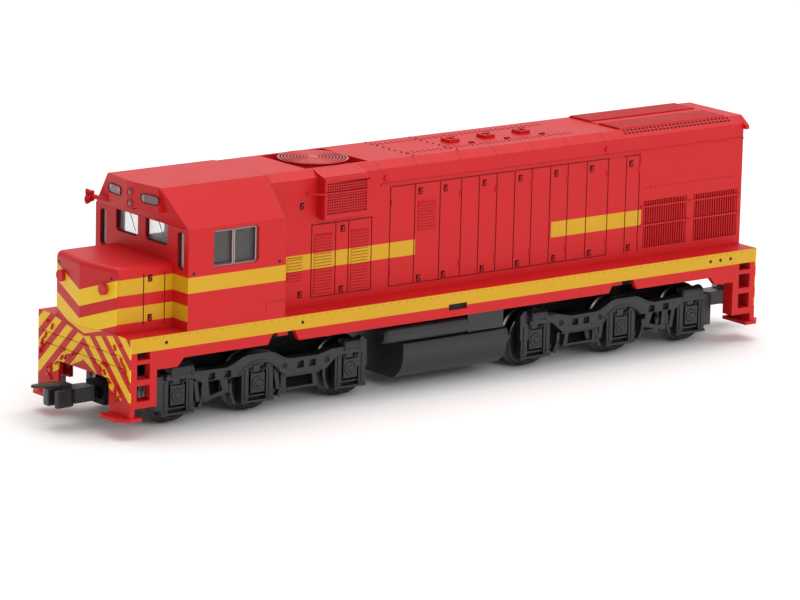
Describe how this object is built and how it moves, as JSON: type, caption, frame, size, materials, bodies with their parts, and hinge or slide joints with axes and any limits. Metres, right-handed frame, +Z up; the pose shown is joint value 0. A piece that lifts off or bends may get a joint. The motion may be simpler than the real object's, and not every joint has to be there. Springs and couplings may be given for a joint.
{
  "type": "model diesel locomotive",
  "caption": "Small-scale model of a hood diesel locomotive with a full-width cab, low nose, swivelling three-axle trucks, fuel tank and horn-hook couplers.",
  "frame": {"origin": "middle of the underside at the wheel flanges' lowest level, halfway between the ends", "axes": "+X toward the cab end, +Y to the locomotive's left side, +Z up"},
  "size_m": [0.1872, 0.0333, 0.0491],
  "materials": {
    "red_plastic": "satin",
    "dark_plastic": "satin",
    "wheel_metal": "satin",
    "clear_plastic": "gloss",
    "weight_metal": "matte",
    "grey_plastic": "satin",
    "white_plastic": "gloss"
  },
  "bodies": {
    "locomotive_body": {"air_horn": "red_plastic", "cab_body": "red_plastic", "cab_roof": "red_plastic", "chassis_plate": "dark_plastic", "class_lamps": "red_plastic", "fan_grille": "red_plastic", "front_glazing": "clear_plastic", "front_pilot": "red_plastic", "fuel_tank": "dark_plastic", "headlight_lenses": "clear_plastic", "left_air_reservoir": "dark_plastic", "left_battery_panel": "dark_plastic", "left_cab_glazing": "clear_plastic", "left_filter_box": "red_plastic", "left_radiator_grilles": "red_plastic", "left_window_frame": "grey_plastic", "long_hood": "red_plastic", "motor_and_weight_block": "weight_metal", "nose_hood": "red_plastic", "number_boards": "white_plastic", "radiator_hood": "red_plastic", "rear_pilot": "red_plastic", "right_air_reservoir": "dark_plastic", "right_battery_panel": "dark_plastic", "right_cab_glazing": "clear_plastic", "right_filter_box": "red_plastic", "right_radiator_grilles": "red_plastic", "right_window_frame": "grey_plastic", "roof_hatch_rings": "red_plastic", "roof_radiator_grille": "red_plastic", "walkway_frame": "red_plastic"},
    "front_truck": {"front_truck_frame": "dark_plastic", "front_truck_left_sideframe": "dark_plastic", "front_truck_right_sideframe": "dark_plastic"},
    "rear_truck": {"rear_truck_frame": "dark_plastic", "rear_truck_left_sideframe": "dark_plastic", "rear_truck_right_sideframe": "dark_plastic"},
    "front_coupler": {"front_coupler": "dark_plastic"},
    "rear_coupler": {"rear_coupler": "dark_plastic"},
    "front_wheelset_1": {"front_wheelset_1": "wheel_metal"},
    "front_wheelset_2": {"front_wheelset_2": "wheel_metal"},
    "front_wheelset_3": {"front_wheelset_3": "wheel_metal"},
    "rear_wheelset_1": {"rear_wheelset_1": "wheel_metal"},
    "rear_wheelset_2": {"rear_wheelset_2": "wheel_metal"},
    "rear_wheelset_3": {"rear_wheelset_3": "wheel_metal"}
  },
  "joints": [
    {"name": "front_truck_swivel", "type": "hinge", "parent": "locomotive_body", "child": "front_truck", "pos_m": [0.047, 0, 0.0166], "axis": [0, 0, 1], "range_deg": [-5, 5]},
    {"name": "front_coupler_swing", "type": "hinge", "parent": "front_truck", "child": "front_coupler", "pos_m": [0.076, 0, 0.0062], "axis": [0, 0, 1], "range_deg": [-8, 8], "stiffness_Nm_per_rad": 0.0002},
    {"name": "front_wheelset_1_spin", "type": "hinge", "parent": "front_truck", "child": "front_wheelset_1", "pos_m": [0.0678, 0, 0.0065], "axis": [0, 1, 0], "continuous": true},
    {"name": "front_wheelset_2_spin", "type": "hinge", "parent": "front_truck", "child": "front_wheelset_2", "pos_m": [0.048, 0, 0.0065], "axis": [0, 1, 0], "continuous": true},
    {"name": "front_wheelset_3_spin", "type": "hinge", "parent": "front_truck", "child": "front_wheelset_3", "pos_m": [0.0245, 0, 0.0065], "axis": [0, 1, 0], "continuous": true},
    {"name": "rear_truck_swivel", "type": "hinge", "parent": "locomotive_body", "child": "rear_truck", "pos_m": [-0.047, 0, 0.0166], "axis": [0, 0, 1], "range_deg": [-5, 5]},
    {"name": "rear_coupler_swing", "type": "hinge", "parent": "rear_truck", "child": "rear_coupler", "pos_m": [-0.076, 0, 0.0062], "axis": [0, 0, 1], "range_deg": [-8, 8], "stiffness_Nm_per_rad": 0.0002},
    {"name": "rear_wheelset_1_spin", "type": "hinge", "parent": "rear_truck", "child": "rear_wheelset_1", "pos_m": [-0.0678, 0, 0.0065], "axis": [0, 1, 0], "continuous": true},
    {"name": "rear_wheelset_2_spin", "type": "hinge", "parent": "rear_truck", "child": "rear_wheelset_2", "pos_m": [-0.048, 0, 0.0065], "axis": [0, 1, 0], "continuous": true},
    {"name": "rear_wheelset_3_spin", "type": "hinge", "parent": "rear_truck", "child": "rear_wheelset_3", "pos_m": [-0.0245, 0, 0.0065], "axis": [0, 1, 0], "continuous": true}
  ]
}
